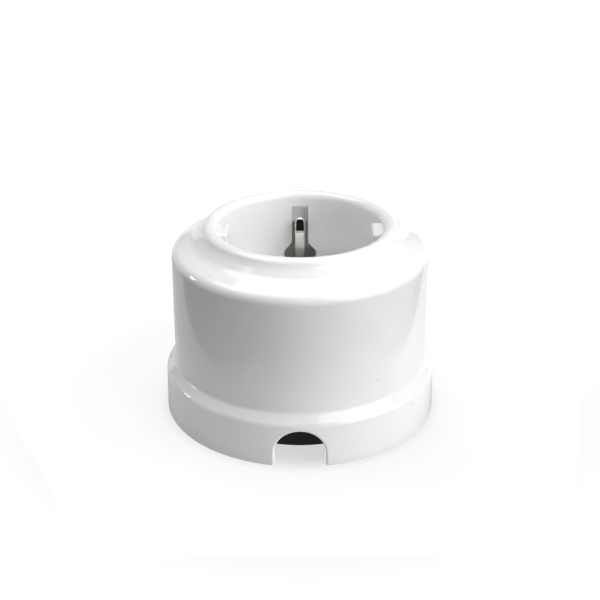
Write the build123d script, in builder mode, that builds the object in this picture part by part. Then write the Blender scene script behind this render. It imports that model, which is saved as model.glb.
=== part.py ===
from build123d import *
import os

# Surface mounted wall socket: a glazed porcelain cover over a moulded base with its contacts.
# The origin is the middle of the back, which lies against the wall, and +Z points into the room.
# The cable notch faces -Y, the two plug pins stand side by side along X. All sizes are millimetres.

# Plug and fastening sizes
pin_spacing = 19.0
pin_radius = 2.4
pin_length = 19.0
screw_radius = 1.75
small_screw_radius = 1.4

# Cover: plug well and rim
well_radius = 19.8
well_depth = 17.5
well_wall = 3.1
well_corner = 1.2
floor_thickness = 4.0
rim_thickness = 2.8
rim_lean = 1.7
cove_drop = 3.45
cove_round = 6.0

# Cover: body and shoulder
hollow_gap = 3.8
body_wall = 3.95
body_draft = 0.05
shoulder_drop = 6.05
shoulder_round = 2.5
top_thickness = 4.0
inner_round = 1.2

# Cover: flange and cable notch
flange_step = 2.35
flange_rise = 2.2
flange_draft = 0.2
flange_wall = 4.2
foot_round = 0.3
notch_width = 11.8
notch_height = 9.1
notch_cover = 1.5
notch_round = 0.5

# Cover: side guides, pin holes and slots of the earth clips
guide_proud = 2.8
guide_width = 7.8
guide_drop = 1.6
guide_round = 0.7
pin_hole_gap = 0.3
pin_hole_lead = 0.5
slot_drop = 3.5
slot_front = 2.5
slot_back = 1.0
slot_side = 0.8
slot_foot_side = 0.5
slot_shoulder_low = 2.0
slot_shoulder_high = 4.1

# Base
base_floor = 4.5
base_margin = 0.6
base_edge = 0.5
foot_width = 3.0
foot_relief = 0.8
floor_skin = 0.9
pocket_gap = 1.3
terminal_margin = 9.0
recess_side = 1.3
wall_screw_margin = 4.0
wall_screw_hole = 2.25
wall_screw_head = 4.2

# Contact metal
sheet = 0.8
contact_wall = 0.8
contact_slit = 0.7
contact_mouth = 0.4
contact_foot = 3.0
contact_top_gap = 1.6
pin_tip_room = 5.25
arm_width = 7.0
ring_thickness = 0.6
ring_height = 1.6
ring_drop = 4.0
ring_opening = 2.0

# Earth bracket and its clips
bracket_width = 7.0
bracket_bend = 1.2
tab_width = 7.0
clip_width = 2.5
clip_foot_gap = 0.5
clip_reach = 4.3
clip_apex_drop = 8.85
clip_tip_reach = 1.4
clip_tip_drop = 6.0
clip_taper = 2.0
clip_bend = 0.7
clip_bevel = 0.25

# Screws, plates and nuts
head_radius = 3.1
head_height = 2.2
screw_slot = 0.9
slot_share = 0.5
small_head_radius = 2.3
small_head_height = 1.3
sunk_head_radius = 3.5
small_sunk_radius = 2.7
plate_size = 6.4
plate_thickness = 1.2
nut_size = 6.0
nut_thickness = 2.2
insert_size = 7.0
insert_length = 9.0
cover_screw_length = 16.0
bracket_screw_length = 5.7
clearance = 0.1
hole_clearance = 0.3

# Heights, from the base's floor up to the rim
arm_top = base_floor + sheet
floor_height = arm_top + pin_tip_room + pin_length
rim_height = floor_height + well_depth
base_height = floor_height - floor_thickness
bracket_height = base_height - sheet
contact_top = base_height - contact_top_gap
shoulder_height = rim_height - shoulder_drop
cove_height = rim_height - cove_drop
hollow_height = (shoulder_height + cove_height) / 2 + hole_clearance - top_thickness
flange_edge_height = notch_height + notch_cover
flange_top_height = flange_edge_height + flange_rise
slot_top = rim_height - slot_drop
hole_depth = base_floor - foot_relief - floor_skin

# Radii, from the plug well out to the flange
rim_radius = well_radius + rim_thickness
rim_outer_round = 0.6 * rim_thickness
rim_inner_round = 0.57 * rim_thickness
cove_radius = rim_radius + rim_lean
well_outer = well_radius + well_wall
body_inner = well_outer + hollow_gap
body_radius = body_inner + body_wall
body_top_radius = body_radius - body_draft
flange_radius = body_radius + flange_step
flange_top_radius = flange_radius - flange_draft
flange_inner = flange_radius - flange_wall
flange_round = 0.6 * flange_step
flange_fillet = 0.4 * flange_step
slot_inner = well_radius - slot_front
slot_outer = well_outer - slot_back
slot_through = well_outer + hollow_gap / 2
base_radius = well_outer + base_margin

# Places of the inner pieces
pin_x = pin_spacing / 2
wall_screw_x = base_radius - wall_screw_margin
contact_radius = pin_radius + contact_wall
pocket_radius = contact_radius + pocket_gap
recess_width = plate_size + 2 * recess_side
terminal_reach = base_radius - terminal_margin
terminal_start = terminal_reach - recess_width / 2
recess_middle = (terminal_start + base_radius) / 2
arm_end = terminal_reach + plate_size / 2
fixing_reach = (contact_radius + terminal_reach - plate_size / 2) / 2
clip_foot_radius = well_radius + clip_foot_gap
bracket_screw_reach = clip_foot_radius / 2
insert_top = bracket_height - hole_clearance
terminals = (
    ("line", -pin_x, -terminal_reach),
    ("neutral", pin_x, -terminal_reach),
    ("earth", pin_x, terminal_reach),
)

os.makedirs("parts", exist_ok=True)


# Headed screw with its seat at a height, its slot along X and its shank pointing down.
def slotted_screw(x, y, seat, head, height, shank, length, sunk=False):
    top = seat if sunk else seat + height
    with BuildPart() as screw:
        with BuildSketch(Plane.XZ):
            with BuildLine():
                Polyline(
                    (0, seat - length),
                    (shank - clearance * 3, seat - length),
                    (shank - clearance, seat - length + clearance * 2),
                    (shank - clearance, seat - height if sunk else seat),
                    (shank if sunk else head, seat - height if sunk else seat),
                    (head, top),
                    (0, top),
                    close=True,
                )
            make_face()
        revolve(axis=Axis.Z)
        with BuildSketch(Plane.XY.offset(top)):
            Rectangle(head * 2.2, screw_slot)
        extrude(amount=-height * slot_share, mode=Mode.SUBTRACT)
    return Pos(x, y, 0) * screw.part


# Square plate that a terminal screw presses on the wire, resting on its strip.
def clamp_plate(x, y, seat):
    with BuildPart() as plate:
        with BuildSketch(Plane.XY.offset(seat)):
            with Locations((x, y)):
                Rectangle(plate_size, plate_size)
                Circle(screw_radius, mode=Mode.SUBTRACT)
        extrude(amount=plate_thickness)
        chamfer(plate.faces().sort_by(Axis.Z)[-1].outer_wire().edges(), sheet / 3)
    return plate.part


# Square nut let into the base under a terminal strip.
def terminal_nut(x, y, seat):
    with BuildPart() as nut:
        with BuildSketch(Plane.XY.offset(seat - nut_thickness)):
            with Locations((x, y)):
                Rectangle(nut_size, nut_size)
                Circle(screw_radius, mode=Mode.SUBTRACT)
        extrude(amount=nut_thickness)
    return nut.part


# The cover is one turned porcelain form. Each corner of its section has its own rounding.
section = [
    ((flange_inner, 0), 0),
    ((flange_radius, 0), foot_round),
    ((flange_top_radius, flange_edge_height), flange_round),
    ((body_radius, flange_top_height), flange_fillet),
    ((body_top_radius, shoulder_height), shoulder_round),
    ((cove_radius, cove_height), cove_round),
    ((rim_radius, rim_height), rim_outer_round),
    ((well_radius, rim_height), rim_inner_round),
    ((well_radius, floor_height), well_corner),
    ((0, floor_height), 0),
    ((0, base_height), 0),
    ((well_outer, base_height), foot_round),
    ((well_outer, hollow_height), inner_round),
    ((body_inner, hollow_height), inner_round),
    ((body_inner, flange_top_height - flange_fillet), inner_round),
    ((flange_inner, flange_edge_height - flange_round), inner_round),
]

# Side guide of the plug well, rounded on the faces that stand free of the wall
with BuildPart() as guide:
    guide_depth = guide_proud + rim_thickness / 2
    guide_foot = floor_height - floor_thickness / 2
    guide_height = rim_height - guide_drop - guide_foot
    with BuildSketch(Plane.XY.offset(guide_foot)):
        with Locations((well_radius - guide_proud + guide_depth / 2, 0)):
            Rectangle(guide_depth, guide_width)
    extrude(amount=guide_height)
    fillet(guide.edges().filter_by(Axis.Z).group_by(Axis.X)[0], guide_round)
    fillet(guide.faces().sort_by(Axis.Z)[-1].edges().sort_by(Axis.X)[:-1], guide_round)

with BuildPart() as cover:
    with BuildSketch(Plane.XZ):
        with BuildLine():
            FilletPolyline(
                [corner for corner, rounding in section],
                radius=[rounding for corner, rounding in section],
                close=True,
            )
        make_face()
    revolve(axis=Axis.Z)

    # Side guides stand on the well's floor against its wall.
    add(guide)
    add(guide.part.mirror(Plane.YZ))

    # Keyhole slots for the earth clips, blind under the rim and open to the hollow below it.
    slot_half = clip_width / 2 + slot_side
    slot_foot_half = bracket_width / 2 + slot_foot_side
    for end, top in ((slot_outer, slot_top), (slot_through, hollow_height - clearance)):
        for offset in (slot_inner, -end):
            with BuildSketch(Plane.XZ.offset(offset)):
                with BuildLine():
                    Polyline(
                        (-slot_foot_half, base_height - floor_thickness),
                        (-slot_foot_half, floor_height + slot_shoulder_low),
                        (-slot_half, floor_height + slot_shoulder_high),
                        (-slot_half, top),
                        (slot_half, top),
                        (slot_half, floor_height + slot_shoulder_high),
                        (slot_foot_half, floor_height + slot_shoulder_low),
                        (slot_foot_half, base_height - floor_thickness),
                        close=True,
                    )
                make_face()
            extrude(amount=end - slot_inner, mode=Mode.SUBTRACT)

    # Pin holes and the countersunk hole of the cover screw
    with Locations((-pin_x, 0, floor_height), (pin_x, 0, floor_height)):
        CounterSinkHole(pin_radius + pin_hole_gap, pin_radius + pin_hole_gap + pin_hole_lead)
    with Locations((0, 0, floor_height)):
        CounterSinkHole(screw_radius + hole_clearance, sunk_head_radius + clearance)

    # Arched cable notch through the flange
    notch_radius = notch_width / 2
    notch_spring = notch_height - notch_radius
    with BuildSketch(Plane.XZ.offset(body_inner)):
        with Locations((0, notch_spring)):
            Circle(notch_radius)
        with Locations((0, 0)):
            Rectangle(notch_width, notch_spring * 2)
    extrude(amount=flange_radius, mode=Mode.SUBTRACT)
    notch_rim = ShapeList(
        edge
        for edge in cover.edges()
        if edge.center().Y < -flange_inner
        and abs(edge.center().X) < notch_radius + clearance
        and foot_round < edge.center().Z < notch_height + clearance
        and (edge @ 0.5).Y < -(flange_top_radius**2 - notch_radius**2) ** 0.5 + clearance
    )
    fillet(notch_rim, notch_round)
cover.part.label = "cover"
export_step(cover.part, "parts/cover.step")

# The base is a moulded disc with a flat floor. Everything that is fitted from the front stands on
# that floor, in recesses between full walls.
with BuildPart() as base:
    with BuildSketch():
        Circle(base_radius)
    extrude(amount=base_height)
    chamfer(base.edges().group_by(Axis.Z)[-1], base_edge)

    # Shallow relief underneath leaves a ring, two screw bosses and a middle boss on the wall.
    with BuildSketch():
        Circle(base_radius - foot_width)
        with Locations((-wall_screw_x, 0), (wall_screw_x, 0), (0, 0)):
            Circle(wall_screw_head, mode=Mode.SUBTRACT)
    extrude(amount=foot_relief, mode=Mode.SUBTRACT)

    # Pocket of each contact with its arm, and the recess of its terminal, which opens at the side
    with BuildSketch(Plane.XY.offset(base_floor)):
        with Locations((-pin_x, 0), (pin_x, 0)):
            Circle(pocket_radius)
        with Locations((-pin_x, -terminal_start / 2), (pin_x, -terminal_start / 2)):
            Rectangle(arm_width + 2 * hole_clearance, terminal_start)
        with Locations((-pin_x, -recess_middle), (pin_x, -recess_middle)):
            Rectangle(recess_width, base_radius - terminal_start)
    extrude(amount=base_height, mode=Mode.SUBTRACT)

    # The earth terminal has the whole corner beside the middle bridge.
    branch = pin_x - recess_width / 2
    with BuildSketch(Plane.XY.offset(base_floor)):
        with Locations(((branch + base_radius) / 2, recess_middle)):
            Rectangle(base_radius - branch, base_radius - terminal_start)
    extrude(amount=base_height, mode=Mode.SUBTRACT)

    # Recesses for the heads of the wall screws, open at the side
    with BuildSketch(Plane.XY.offset(base_floor)):
        for side in (-1, 1):
            with Locations((side * wall_screw_x, 0)):
                Circle(wall_screw_head)
            with Locations((side * (wall_screw_x + base_radius) / 2, 0)):
                Rectangle(base_radius - wall_screw_x, 2 * wall_screw_head)
    extrude(amount=base_height, mode=Mode.SUBTRACT)
    with BuildSketch():
        with Locations((-wall_screw_x, 0), (wall_screw_x, 0)):
            Circle(wall_screw_hole)
    extrude(amount=base_height, mode=Mode.SUBTRACT)

    # Groove that the earth bracket lies in, with a branch for its terminal tab
    with BuildSketch(Plane.XY.offset(bracket_height)):
        Rectangle(bracket_width + 2 * clearance, 2 * base_radius)
        with Locations((branch / 2, terminal_reach)):
            Rectangle(branch, tab_width + 2 * clearance)
    extrude(amount=base_height, mode=Mode.SUBTRACT)

    # Nut pockets and screw holes
    for name, x, y in terminals:
        with BuildSketch(Plane.XY.offset(base_floor)):
            with Locations((x, y)):
                Rectangle(nut_size + 2 * clearance, nut_size + 2 * clearance)
        extrude(amount=-nut_thickness, mode=Mode.SUBTRACT)
        with Locations((x, y, base_floor)):
            Hole(screw_radius + hole_clearance, depth=hole_depth)
    with Locations((-pin_x, -fixing_reach, base_floor), (pin_x, -fixing_reach, base_floor)):
        Hole(small_screw_radius, depth=hole_depth)
    with Locations((0, -bracket_screw_reach, base_height), (0, bracket_screw_reach, base_height)):
        CounterSinkHole(
            small_screw_radius,
            small_sunk_radius + clearance,
            depth=bracket_screw_length + hole_clearance,
        )

    # Pocket of the threaded insert, with room for the tip of the cover screw
    with BuildSketch(Plane.XY.offset(insert_top - insert_length)):
        RegularPolygon(insert_size / 2 + clearance, 6, major_radius=False, rotation=30)
    extrude(amount=base_height, mode=Mode.SUBTRACT)
    screw_room = insert_top - floor_height + cover_screw_length + hole_clearance
    with Locations((0, 0, insert_top)):
        Hole(screw_radius + hole_clearance, depth=screw_room)
base.part.label = "base"
export_step(base.part, "parts/base.step")

# The earth bracket is one folded strip. Both ends stand up as clips, and a tab carries the terminal.
apex_radius = well_radius - clip_reach + sheet / 2
tip_radius = well_radius - clip_tip_reach
apex_height = rim_height - clip_apex_drop
tip_height = rim_height - clip_tip_drop
knee_height = floor_height - sheet / 2
clip_tip_round = clip_width / 2 - clearance / 2
with BuildPart() as earth_bracket:
    with BuildSketch(Plane.YZ.offset(-bracket_width / 2)):
        with BuildLine():
            FilletPolyline(
                (-tip_radius, tip_height),
                (-apex_radius, apex_height),
                (-clip_foot_radius, knee_height),
                (-clip_foot_radius, bracket_height + sheet / 2),
                (clip_foot_radius, bracket_height + sheet / 2),
                (clip_foot_radius, knee_height),
                (apex_radius, apex_height),
                (tip_radius, tip_height),
                radius=[clip_bend, bracket_bend, bracket_bend, bracket_bend, bracket_bend, clip_bend],
            )
        trace(line_width=sheet)
    extrude(amount=bracket_width)

    # The strip narrows below the well's floor to the width of the spring clip and ends in a round tip.
    taper_height = floor_height - clip_taper - clearance
    with BuildSketch(Plane.XZ.offset(-flange_radius)):
        with BuildLine():
            FilletPolyline(
                (-bracket_width / 2, 0),
                (-bracket_width / 2, taper_height),
                (-clip_width / 2, taper_height + clip_taper),
                (-clip_width / 2, tip_height),
                (clip_width / 2, tip_height),
                (clip_width / 2, taper_height + clip_taper),
                (bracket_width / 2, taper_height),
                (bracket_width / 2, 0),
                radius=[0, 0, 0, clip_tip_round, clip_tip_round, 0, 0, 0],
                close=True,
            )
        make_face()
    extrude(amount=2 * flange_radius, mode=Mode.INTERSECT)

    # Bevel round the lead-in of each clip
    leads = ShapeList(
        face
        for face in earth_bracket.faces().filter_by(GeomType.PLANE)
        if face.center().Z > apex_height and face.normal_at().Z > 0 and face.area > clip_width
    )
    lead_rims = ShapeList(edge for face in leads for edge in face.edges().sort_by(Axis.Z)[1:])
    chamfer(lead_rims, clip_bevel)

    # Terminal tab, folded down the side of the middle bridge to the base's floor
    leg_x = branch + clearance + sheet / 2
    with BuildSketch(Plane.XZ.offset(-terminal_reach - tab_width / 2)):
        with BuildLine():
            FilletPolyline(
                (0, bracket_height + sheet / 2),
                (leg_x, bracket_height + sheet / 2),
                (leg_x, base_floor + sheet / 2),
                (pin_x + plate_size / 2, base_floor + sheet / 2),
                radius=sheet / 2 + clearance,
            )
        trace(line_width=sheet)
    extrude(amount=tab_width)
    with Locations((pin_x, terminal_reach, arm_top)):
        Hole(screw_radius, depth=2 * sheet)
    with Locations((0, 0, base_height)):
        Hole(screw_radius + hole_clearance, depth=2 * sheet)
    with Locations((0, -bracket_screw_reach, base_height), (0, bracket_screw_reach, base_height)):
        CounterSinkHole(small_screw_radius, small_sunk_radius + clearance, depth=2 * sheet)
earth_bracket.part.label = "earth_bracket"
export_step(earth_bracket.part, "parts/earth_bracket.step")

for name, side in (("line", -1), ("neutral", 1)):
    x = side * pin_x

    # Slit sleeve for the plug's pin, standing on a flat arm that runs to the terminal
    with BuildPart() as contact:
        with BuildSketch(Plane.XY.offset(base_floor)):
            with Locations((x, -arm_end / 2)):
                Rectangle(arm_width, arm_end)
            with Locations((x, 0)):
                Circle(arm_width / 2)
        extrude(amount=sheet)
        with BuildSketch(Plane.XY.offset(arm_top)):
            with Locations((x, 0)):
                Circle(contact_radius)
                Circle(pin_radius, mode=Mode.SUBTRACT)
        extrude(amount=contact_top - arm_top)
        mouth = contact.edges().filter_by(GeomType.CIRCLE).group_by(Axis.Z)[-1].sort_by(SortBy.RADIUS)[0]
        chamfer(mouth, contact_mouth)
        with BuildSketch(Plane.XY.offset(arm_top + contact_foot)):
            with Locations((x, 0)):
                Rectangle(contact_slit, 2 * pocket_radius)
        extrude(amount=contact_top, mode=Mode.SUBTRACT)
        with Locations((x, -terminal_reach, arm_top)):
            Hole(screw_radius, depth=2 * sheet)
        with Locations((x, -fixing_reach, arm_top)):
            Hole(small_screw_radius, depth=2 * sheet)
    contact.part.label = name + "_contact"
    export_step(contact.part, "parts/" + name + "_contact.step")

    # Open steel ring that presses the two halves of the sleeve together
    with BuildPart() as ring:
        with BuildSketch(Plane.XY.offset(contact_top - ring_drop)):
            with Locations((x, 0)):
                Circle(contact_radius + clearance + ring_thickness)
                Circle(contact_radius + clearance, mode=Mode.SUBTRACT)
            with Locations((x + side * contact_radius, 0)):
                Rectangle(2 * ring_thickness + contact_wall, ring_opening, mode=Mode.SUBTRACT)
        extrude(amount=ring_height)
    ring.part.label = name + "_contact_ring"
    export_step(ring.part, "parts/" + name + "_contact_ring.step")

    fixing = slotted_screw(
        x,
        -fixing_reach,
        arm_top,
        small_head_radius,
        small_head_height,
        small_screw_radius,
        hole_depth + sheet - hole_clearance,
    )
    fixing.label = name + "_contact_screw"
    export_step(fixing, "parts/" + name + "_contact_screw.step")

# Terminals: a nut in the base, the strip on it, then the clamp plate and its screw
for name, x, y in terminals:
    nut = terminal_nut(x, y, base_floor)
    nut.label = name + "_terminal_nut"
    export_step(nut, "parts/" + name + "_terminal_nut.step")
    plate = clamp_plate(x, y, arm_top)
    plate.label = name + "_clamp_plate"
    export_step(plate, "parts/" + name + "_clamp_plate.step")
    terminal = slotted_screw(
        x,
        y,
        arm_top + plate_thickness,
        head_radius,
        head_height,
        screw_radius,
        hole_depth + sheet + plate_thickness - hole_clearance,
    )
    terminal.label = name + "_terminal_screw"
    export_step(terminal, "parts/" + name + "_terminal_screw.step")

# Countersunk screws of the earth bracket, flush with the top of the base
for name, y in (("lower", -bracket_screw_reach), ("upper", bracket_screw_reach)):
    height = small_sunk_radius - small_screw_radius
    holder = slotted_screw(
        0,
        y,
        base_height,
        small_sunk_radius,
        height,
        small_screw_radius,
        bracket_screw_length,
        sunk=True,
    )
    holder.label = "earth_bracket_" + name + "_screw"
    export_step(holder, "parts/earth_bracket_" + name + "_screw.step")

# Brass insert in the middle of the base, and the cover screw that enters it from the plug well
with BuildPart() as cover_insert:
    with BuildSketch(Plane.XY.offset(insert_top - insert_length)):
        RegularPolygon(insert_size / 2, 6, major_radius=False, rotation=30)
        Circle(screw_radius, mode=Mode.SUBTRACT)
    extrude(amount=insert_length)
cover_insert.part.label = "cover_screw_insert"
export_step(cover_insert.part, "parts/cover_screw_insert.step")

cover_screw = slotted_screw(
    0,
    0,
    floor_height,
    sunk_head_radius,
    sunk_head_radius - screw_radius,
    screw_radius,
    cover_screw_length,
    sunk=True,
)
cover_screw.label = "cover_screw"
export_step(cover_screw, "parts/cover_screw.step")
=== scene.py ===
import math
import bpy
import numpy as np
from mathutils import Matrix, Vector

# Porcelain wall socket on a pale table: glazed cover, black moulded base, plated and brass metal.
# Pieces are in metres in the frame of the solids, and materials read their place in millimetres.
# The socket lies on its back, +Z up, with the cable notch to -Y.

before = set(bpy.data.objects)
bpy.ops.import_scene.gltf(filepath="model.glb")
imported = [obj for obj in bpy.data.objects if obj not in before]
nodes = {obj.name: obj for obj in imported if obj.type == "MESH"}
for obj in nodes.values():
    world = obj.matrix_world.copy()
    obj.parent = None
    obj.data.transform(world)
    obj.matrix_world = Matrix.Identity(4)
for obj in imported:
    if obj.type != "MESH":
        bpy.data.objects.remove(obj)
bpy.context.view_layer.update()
mm = 0.001
midNoise = (0.3, 0.7)  # the range that holds most values of a noise pattern
softly = {"interpolation_type": "SMOOTHSTEP"}  # gives a Map Range round ends


def linear(code):
    # sRGB hex code to linear colour: divide by 12.92 below 0.04045, else ((c + 0.055) / 1.055) ^ 2.4
    parts = [int(code[i:i + 2], 16) / 255 for i in (1, 3, 5)]
    return [c / 12.92 if c <= 0.04045 else ((c + 0.055) / 1.055) ** 2.4 for c in parts] + [1.0]


def addNode(tree, kind, inputs=None, **settings):
    # One node: settings are its own properties. An input is a plain value, an output of another
    # node, or another node, which then gives its first output that is in use.
    node = tree.nodes.new("ShaderNode" + kind)
    for key, value in settings.items():
        setattr(node, key, value)
    for key, value in (inputs or {}).items():
        if isinstance(value, bpy.types.Node):
            value = next(socket for socket in value.outputs if socket.enabled)
        if isinstance(value, bpy.types.NodeSocket):
            tree.links.new(value, node.inputs[key])
        else:
            node.inputs[key].default_value = value
    return node


def fromTo(source, span, result=(0, 1)):
    # Inputs that move the range span of a pattern to the range result, held at the ends of that
    inputs = {"Value": source, "From Min": span[0], "From Max": span[1]}
    return {**inputs, "To Min": result[0], "To Max": result[1]}


def newMaterial(name):
    material = bpy.data.materials.new(name)
    material.use_nodes = True
    material.node_tree.nodes.clear()
    return material, material.node_tree


def objectPoint(tree, stretch=(1, 1, 1)):
    # Place on the piece in millimetres, so that every pattern size below is in millimetres too.
    # A stretch above 1 makes a pattern that much finer along that axis.
    place = addNode(tree, "TexCoord").outputs["Object"]
    return addNode(tree, "Mapping", {"Vector": place, "Scale": [s / mm for s in stretch]})


def dress(names, material):
    for name in names:
        mesh = nodes[name].data
        mesh.materials.clear()
        mesh.materials.append(material)


# Sizes are in millimetres. Sockets 0, 6 and 7 of a colour Mix are its factor and its two colours.
glaze = {
    "light": "#f0f0ef",
    "dark": "#ebebea",
    "cloudSize": 14,
    "roughness": (0.04, 0.065),
    "glossSize": 3.0,
    "waveSize": 7.0,
    "waveDepth": 0.010,
    "coveEdge": (22.4, 24.6),  # radii between which the glaze grows thicker
    "coveDepth": 0.45,
    "speck": "#8c8984",
    "speckStrength": 0.5,
    "speckDepth": 0.02,
    "pinholeSpacing": 6.0,
    "pinholeRadius": 0.18,
    "pinholeShare": 0.12,
    "footEdge": (0.05, 0.2),  # heights between which the glaze begins
    "footLight": "#d9d5cc",
    "footDark": "#cbc6bc",
    "footGrain": 0.35,
    "footRoughness": 0.75,
}
specks = {  # x, y, z and radius
    "leftShoulder": (-20.3, -19.9, 41.9, 0.30),
    "frontShoulder": (-9.1, -27.2, 41.8, 0.26),
    "rightBody": (26.4, -15.5, 36.9, 0.28),
    "lowerBody": (17.7, -25.0, 18.5, 0.24),
    "rightFlange": (26.2, -19.8, 8.9, 0.24),
}


def speckMask(tree, point):
    # Iron spots in the glaze: 1 in the middle of each spot, falling to 0 at its radius
    mask = 0.0
    for x, y, z, radius in specks.values():
        away = addNode(tree, "VectorMath", {0: point, 1: (x, y, z)}, operation="DISTANCE")
        spot = addNode(tree, "MapRange", fromTo(away, (0.4 * radius, radius), (1, 0)), **softly)
        mask = addNode(tree, "Math", {0: mask, 1: spot}, operation="MAXIMUM")
    return mask


def pinholeMask(tree, point):
    # Small pinholes: one in each cell of a loose pattern, kept in a small share of the cells
    spacing, blank = glaze["pinholeSpacing"], 1 - glaze["pinholeShare"]
    radius = glaze["pinholeRadius"] / spacing
    cells = addNode(tree, "TexVoronoi", {"Vector": point, "Scale": 1 / spacing}).outputs
    lot = addNode(tree, "SeparateColor", {"Color": cells["Color"]})
    kept = addNode(tree, "MapRange", fromTo(lot, (blank, blank + 0.01)))
    fall = fromTo(cells["Distance"], (0.4 * radius, radius), (1, 0))
    hole = addNode(tree, "MapRange", fall, **softly)
    return addNode(tree, "Math", {0: kept, 1: hole}, operation="MULTIPLY")


def porcelainMaterial():
    # Thick clear glaze fired on white porcelain: sharp reflections over a milky body, faint waves,
    # a few iron specks and pinholes, and a bare, rough, greyer foot. The glaze has run off the rim
    # and is thicker from the cove outward, which softens the cove.
    material, tree = newMaterial("glazedPorcelain")
    point = objectPoint(tree)
    height = addNode(tree, "SeparateXYZ", {"Vector": point}).outputs["Z"]

    patches = {"Vector": point, "Scale": 1 / glaze["cloudSize"], "Detail": 3}
    cloud = addNode(tree, "MapRange", fromTo(addNode(tree, "TexNoise", patches), midNoise))
    tones = {0: cloud, 6: linear(glaze["dark"]), 7: linear(glaze["light"])}
    white = addNode(tree, "Mix", tones, data_type="RGBA")
    masks = {0: speckMask(tree, point), 1: pinholeMask(tree, point)}
    spots = addNode(tree, "Math", masks, operation="MAXIMUM")
    stain = addNode(tree, "Math", {0: spots, 1: glaze["speckStrength"]}, operation="MULTIPLY")
    tones = {0: stain, 6: white, 7: linear(glaze["speck"])}
    glazed = addNode(tree, "Mix", tones, data_type="RGBA")
    bare = addNode(tree, "MapRange", fromTo(height, glaze["footEdge"], (1, 0)))
    grain = {"Vector": point, "Scale": 1 / glaze["footGrain"], "Detail": 3}
    tones = {6: linear(glaze["footDark"]), 7: linear(glaze["footLight"])}
    foot = addNode(tree, "Mix", {0: addNode(tree, "TexNoise", grain), **tones}, data_type="RGBA")
    colour = addNode(tree, "Mix", {0: bare, 6: glazed, 7: foot}, data_type="RGBA")

    ripple = addNode(tree, "TexNoise", {"Vector": point, "Scale": 1 / glaze["glossSize"]})
    gloss = addNode(tree, "MapRange", fromTo(ripple, midNoise, glaze["roughness"]))
    dull = addNode(tree, "Math", {0: bare, 1: glaze["footRoughness"]}, operation="MULTIPLY")
    roughness = addNode(tree, "Math", {0: gloss, 1: dull}, operation="MAXIMUM")

    flat = addNode(tree, "VectorMath", {0: point, 1: (1, 1, 0)}, operation="MULTIPLY")
    radius = addNode(tree, "VectorMath", {0: flat}, operation="LENGTH")
    pooled = addNode(tree, "MapRange", fromTo(radius, glaze["coveEdge"]), **softly)
    swell = {"Vector": point, "Scale": 1 / glaze["waveSize"], "Detail": 1}
    level = addNode(tree, "Math", {0: 1.0, 1: spots}, operation="SUBTRACT")
    relief = addNode(tree, "Bump", {"Height": pooled, "Distance": glaze["coveDepth"] * mm})
    for layer, depth in ((addNode(tree, "TexNoise", swell), "waveDepth"), (level, "speckDepth")):
        inputs = {"Height": layer, "Distance": glaze[depth] * mm, "Normal": relief}
        relief = addNode(tree, "Bump", inputs)

    inputs = {"Base Color": colour, "Roughness": roughness, "IOR": 1.5, "Normal": relief}
    addNode(tree, "OutputMaterial", {"Surface": addNode(tree, "BsdfPrincipled", inputs)})
    return material


phenolic = {
    "dark": "#0b0a0a",
    "light": "#191817",
    "flowSize": 7,
    "flowStretch": (1, 1, 0.3),
    "roughness": (0.42, 0.58),
    "glossSize": 2.5,
    "grainSize": 0.25,
    "grainDepth": 0.01,
    "reflection": 0.12,
}


def phenolicMaterial():
    # Black phenolic moulding: deep black with a dull gloss, faint flow marks and a fine grain. Its
    # reflections are held low, because it shows almost black in the notch.
    material, tree = newMaterial("blackPhenolic")
    point = objectPoint(tree)
    drawn = objectPoint(tree, phenolic["flowStretch"])
    marks = {"Vector": drawn, "Scale": 1 / phenolic["flowSize"], "Detail": 4, "Roughness": 0.6}
    tones = {6: linear(phenolic["dark"]), 7: linear(phenolic["light"])}
    colour = addNode(tree, "Mix", {0: addNode(tree, "TexNoise", marks), **tones}, data_type="RGBA")
    patches = {"Vector": point, "Scale": 1 / phenolic["glossSize"], "Detail": 3}
    gloss = fromTo(addNode(tree, "TexNoise", patches), midNoise, phenolic["roughness"])
    grain = addNode(tree, "TexNoise", {"Vector": point, "Scale": 1 / phenolic["grainSize"]})
    skin = addNode(tree, "Bump", {"Height": grain, "Distance": phenolic["grainDepth"] * mm})
    inputs = {"Base Color": colour, "Roughness": addNode(tree, "MapRange", gloss), "Normal": skin}
    inputs |= {"IOR": 1.5, "Specular IOR Level": phenolic["reflection"]}
    addNode(tree, "OutputMaterial", {"Surface": addNode(tree, "BsdfPrincipled", inputs)})
    return material


metals = {
    "nickelPlatedStrip": {
        "light": "#e6e5e2", "dark": "#cfcdc8", "roughness": (0.06, 0.14),
        "stretch": (12, 1, 1), "lineSize": 1.0, "lineDepth": 0.001,
        "wornFrom": (37, 38), "dull": 0.3,
    },
    "stampedBrass": {
        "light": "#e3bd6e", "dark": "#a87e3a", "roughness": (0.18, 0.34),
        "stretch": (1, 6, 1), "lineSize": 0.8, "lineDepth": 0.003,
    },
    "bluedSpringSteel": {
        "light": "#4a4d58", "dark": "#2b2c33", "roughness": (0.20, 0.36),
        "stretch": (1, 1, 10), "lineSize": 0.6, "lineDepth": 0.002,
    },
    "zincPlatedSteel": {
        "light": "#cfd2d4", "dark": "#a8a9a4", "roughness": (0.18, 0.32),
        "stretch": (1, 1, 1), "lineSize": 0.5, "lineDepth": 0.003,
    },
}
tarnish = {"size": 3.5, "detail": 4, "rough": 0.6, "span": (0.3, 0.75)}


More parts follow.
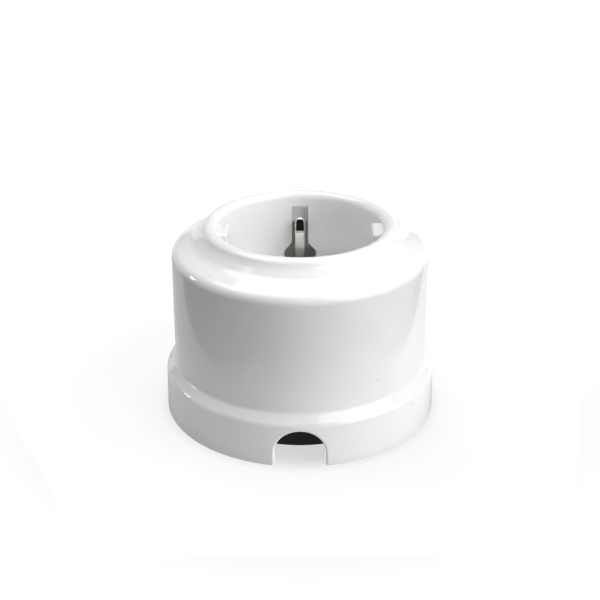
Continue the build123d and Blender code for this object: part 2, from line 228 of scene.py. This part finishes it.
def metalMaterial(name):
    # Metal: colour between two tones by cloudy tarnish, gloss broken by drawn or rolled lines. A strip
    # that plugs rub bright at its tip stays dull below the heights in wornFrom.
    spec = metals[name]
    material, tree = newMaterial(name)
    point = objectPoint(tree)
    patches = {"Vector": point, "Scale": 1 / tarnish["size"]}
    patches |= {"Detail": tarnish["detail"], "Roughness": tarnish["rough"]}
    cloud = fromTo(addNode(tree, "TexNoise", patches), tarnish["span"])
    tones = {6: linear(spec["light"]), 7: linear(spec["dark"])}
    colour = addNode(tree, "Mix", {0: addNode(tree, "MapRange", cloud), **tones}, data_type="RGBA")
    drawn = objectPoint(tree, spec["stretch"])
    lines = addNode(tree, "TexNoise", {"Vector": drawn, "Scale": 1 / spec["lineSize"]})
    roughness = addNode(tree, "MapRange", fromTo(lines, midNoise, spec["roughness"]))
    if "dull" in spec:
        height = addNode(tree, "SeparateXYZ", {"Vector": point}).outputs["Z"]
        fall = fromTo(height, spec["wornFrom"], (spec["dull"], 0))
        worn = addNode(tree, "MapRange", fall, **softly)
        roughness = addNode(tree, "Math", {0: roughness, 1: worn}, operation="MAXIMUM")
    relief = addNode(tree, "Bump", {"Height": lines, "Distance": spec["lineDepth"] * mm})
    inputs = {"Base Color": colour, "Metallic": 1.0, "Roughness": roughness, "Normal": relief}
    addNode(tree, "OutputMaterial", {"Surface": addNode(tree, "BsdfPrincipled", inputs)})
    return material


def endsWith(*endings):
    return [name for name in nodes if name.endswith(endings)]


dress(["cover"], porcelainMaterial())
dress(["base"], phenolicMaterial())
dress(["earth_bracket"], metalMaterial("nickelPlatedStrip"))
dress(endsWith("_contact", "_nut", "_insert"), metalMaterial("stampedBrass"))
dress(endsWith("_ring"), metalMaterial("bluedSpringSteel"))
dress(endsWith("_screw", "_plate"), metalMaterial("zincPlatedSteel"))
print("materials ready")


def flatPiece(name, points, faces, material):
    # Object at the origin from whole arrays of points and faces
    mesh = bpy.data.meshes.new(name)
    mesh.from_pydata(points.tolist(), [], faces.tolist())
    mesh.materials.append(material)
    piece = bpy.data.objects.new(name, mesh)
    bpy.context.scene.collection.objects.link(piece)
    return piece


table = {
    "reach": 4.0,  # metres
    "gap": 0.05 * mm,  # keeps the table's face clear of the foot's
    "light": "#6c6c6c",
    "dark": "#686868",
    "patchSize": 40,
    "roughness": 0.7,
    # Glow under the socket, beside it and far out: the lower glow near the socket is painted shade
    "under": 0.62,
    "near": 0.84,
    "far": 1.02,
    "nearEdge": (29, 36),
    "farEdge": (50, 105),
}


def makeTable():
    # Pale table seen by the camera only. It glows, so that the shadow on it stays faint. Its glow is
    # dimmed as painted shade: least under the socket, a little more beside it and fully from about 100
    # mm outward.
    material, tree = newMaterial("paleTable")
    point = objectPoint(tree)
    patches = {"Vector": point, "Scale": 1 / table["patchSize"], "Detail": 3}
    tones = {6: linear(table["dark"]), 7: linear(table["light"])}
    tone = addNode(tree, "Mix", {0: addNode(tree, "TexNoise", patches), **tones}, data_type="RGBA")
    radius = addNode(tree, "VectorMath", {0: point}, operation="LENGTH")
    # Painted shade: the glow drops under and beside the socket and rises to full far out
    under, near, far = table["under"], table["near"], table["far"]
    beside = addNode(tree, "MapRange", fromTo(radius, table["nearEdge"], (under, near)), **softly)
    outward = addNode(tree, "MapRange", fromTo(radius, table["farEdge"], (0, far - near)), **softly)
    glow = addNode(tree, "Math", {0: beside, 1: outward}, operation="ADD")
    inputs = {"Base Color": tone, "Roughness": table["roughness"], "Specular IOR Level": 0.0}
    inputs |= {"Emission Color": linear("#ffffff"), "Emission Strength": glow}
    addNode(tree, "OutputMaterial", {"Surface": addNode(tree, "BsdfPrincipled", inputs)})

    # Square: each corner is its pair of signs times the reach, and the gap below the foot
    signs = np.array([(-1, -1, 0), (1, -1, 0), (1, 1, 0), (-1, 1, 0)])
    corners = table["reach"] * signs - (0, 0, table["gap"])
    top = flatPiece("table", corners, np.array([(0, 1, 2, 3)]), material)
    top.visible_diffuse = False
    top.visible_glossy = False
    top.visible_shadow = False


pool = {
    "inner": 33,
    "outer": 1200,
    "steps": 96,
    "near": 0.57,
    "far": 0.85,
    "farEdge": (5, 60),
    "shade": (0.5, 1),
    "shadeWidth": 10,
    "left": ((-75, -0.477), (-39, -1.69)),
    "right": ((71, 0.25), (20, 1.05)),
    "frontEdge": -66,
    "blur": 1,
    "waver": 1.5,
    "waverSize": 9,
}


def sideLimit(tree, y, side, pick):
    # The further out of two slanting lines x = a + b y
    ends = [addNode(tree, "Math", {0: y, 1: b, 2: a}, operation="MULTIPLY_ADD") for a, b in pool[side]]
    return addNode(tree, "Math", dict(enumerate(ends)), operation=pick)


def makePool():
    # Lit part of the table: a flat ring that only lights the socket and shows in its glaze. It is
    # dimmer in the shade at the foot and brighter at the right and behind, and it stops at a front
    # edge and at two slanting sides, all of which waver a little.
    material, tree = newMaterial("lightPool")
    point = objectPoint(tree)
    place = addNode(tree, "SeparateXYZ", {"Vector": point}).outputs
    x, y = place["X"], place["Y"]
    left, right = sideLimit(tree, y, "left", "MINIMUM"), sideLimit(tree, y, "right", "MAXIMUM")
    inside = addNode(tree, "Math", {0: x, 1: left}, operation="SUBTRACT")
    for far, near in ((right, x), (y, pool["frontEdge"])):
        depth = addNode(tree, "Math", {0: far, 1: near}, operation="SUBTRACT")
        inside = addNode(tree, "Math", {0: inside, 1: depth}, operation="MINIMUM")
    waver, blur = pool["waver"], pool["blur"]
    ripple = {"Vector": point, "Scale": 1 / pool["waverSize"], "Detail": 1}
    uneven = fromTo(addNode(tree, "TexNoise", ripple), (0, 1), (-waver, waver))
    inputs = {0: inside, 1: addNode(tree, "MapRange", uneven)}
    edge = addNode(tree, "Math", inputs, operation="ADD")

    rightBack = addNode(tree, "Math", {0: x, 1: y}, operation="ADD")
    level = fromTo(rightBack, pool["farEdge"], (pool["near"], pool["far"]))
    radius = addNode(tree, "VectorMath", {0: point}, operation="LENGTH")
    shade = fromTo(radius, (pool["inner"], pool["inner"] + pool["shadeWidth"]), pool["shade"])
    strength = addNode(tree, "MapRange", level, **softly)
    lit = addNode(tree, "MapRange", fromTo(edge, (-blur, blur)), **softly)
    for part in (addNode(tree, "MapRange", shade), lit):
        strength = addNode(tree, "Math", {0: strength, 1: part}, operation="MULTIPLY")
    glow = addNode(tree, "Emission", {"Strength": strength})
    addNode(tree, "OutputMaterial", {"Surface": glow})

    # Ring: point(r, t) = (r cos t, r sin t, 0) for the two radii and t in even steps of a full turn
    count = pool["steps"]
    first = np.arange(count)
    turn = first * 2 * np.pi / count
    radii = np.array([[pool["inner"]], [pool["outer"]]]) * mm
    points = np.stack([radii * np.cos(turn), radii * np.sin(turn), np.zeros((2, count))], axis=-1)
    second = np.roll(first, -1)
    faces = np.stack([first, first + count, second + count, second], axis=-1)
    ring = flatPiece("lightPool", points.reshape(-1, 3), faces, material)
    ring.visible_camera = False
    ring.visible_shadow = False


def around(azimuth, elevation, away=1.2):
    # Place seen from the socket at these angles in degrees. Azimuth 0 is the camera's side and 90
    # the right.
    a, e = math.radians(azimuth), math.radians(elevation)
    return (away * math.sin(a) * math.cos(e), -away * math.cos(a) * math.cos(e), away * math.sin(e))


def placeRig(name, data, place, aim):
    # Lamps and cameras look along their own -Z, so +Z points back from the aim
    rig = bpy.data.objects.new(name, data)
    bpy.context.scene.collection.objects.link(rig)
    rig.location = place
    back = Vector(place) - Vector(aim)
    rig.rotation_euler = back.to_track_quat("Z", "Y").to_euler()
    return rig


# Sizes are in metres. glow is the brightness of the lit face, where 1 is white paper in full light.
lamps = {
    "keyLight": {
        "place": around(60, 32), "aim": (0, 0, 0),
        "width": 1.12, "height": 1.45, "glow": 3.17,
    },
    "keyWing": {
        "place": around(20, 8), "aim": (0, 0, 0),
        "width": 0.62, "height": 0.26, "glow": 2.4,
    },
    "topLight": {
        "place": (-0.12, 0.15, 0.8), "aim": (-0.12, 0.15, 0),
        "width": 0.92, "height": 0.5, "glow": 3.5,
    },
    "leftStrip": {
        "place": around(-105, 15), "aim": (0, 0, 0),
        "width": 0.16, "height": 0.18, "glow": 14,
    },
}


def makeLamp(name, spec):
    # Flat soft light. Its power in watts is its glow times pi times its area.
    lamp = bpy.data.lights.new(name, "AREA")
    lamp.shape = "RECTANGLE"
    lamp.size, lamp.size_y = spec["width"], spec["height"]
    lamp.energy = spec["glow"] * math.pi * spec["width"] * spec["height"]
    placeRig(name, lamp, spec["place"], spec["aim"])


room = {
    "dark": 0.01,
    "horizon": 1.04,
    "horizonTop": 0.10,
    "horizonBlur": 0.04,
    "leftWall": 0.25,
    "wallWay": (-0.77, 0.64, 0),
    "wallEdge": (0.3, 0.6),
}


def makeRoom():
    # Room by direction: dark, with a bright band at the horizon and a dim wall behind to the left
    world = bpy.data.worlds.new("studio")
    bpy.context.scene.world = world
    world.use_nodes = True
    tree = world.node_tree
    tree.nodes.clear()
    way = addNode(tree, "TexCoord").outputs["Generated"]
    facing = addNode(tree, "VectorMath", {0: way, 1: room["wallWay"]}, operation="DOT_PRODUCT")
    wall = fromTo(facing, room["wallEdge"], (room["dark"], room["leftWall"]))
    height = addNode(tree, "SeparateXYZ", {"Vector": way}).outputs["Z"]
    top = room["horizonTop"]
    band = fromTo(height, (top, top - room["horizonBlur"]))
    # Sockets 0, 2 and 3 of a Mix of numbers are its factor and its two numbers
    parts = {0: addNode(tree, "MapRange", band, **softly), 2: addNode(tree, "MapRange", wall, **softly)}
    strength = addNode(tree, "Mix", {**parts, 3: room["horizon"]})
    glow = addNode(tree, "Background", {"Color": linear("#ffffff"), "Strength": strength})
    addNode(tree, "OutputWorld", {"Surface": glow})


makeTable()
makePool()
for lampName, lampSpec in lamps.items():
    makeLamp(lampName, lampSpec)
makeRoom()
print("table and lights ready")

view = {
    "place": (0.0, -0.2764, 0.1567),
    "aim": (0.0, 0.0, 0.0267),
    "lens": 75.39,
    "sensor": 36,
    "reach": (0.01, 50),
}
camera = bpy.data.cameras.new("camera")
camera.lens = view["lens"]
camera.sensor_width = view["sensor"]
camera.clip_start, camera.clip_end = view["reach"]
bpy.context.scene.camera = placeRig("camera", camera, view["place"], view["aim"])
bpy.context.scene.view_settings.view_transform = "Standard"
bpy.context.scene.view_settings.look = "None"
print("camera ready")
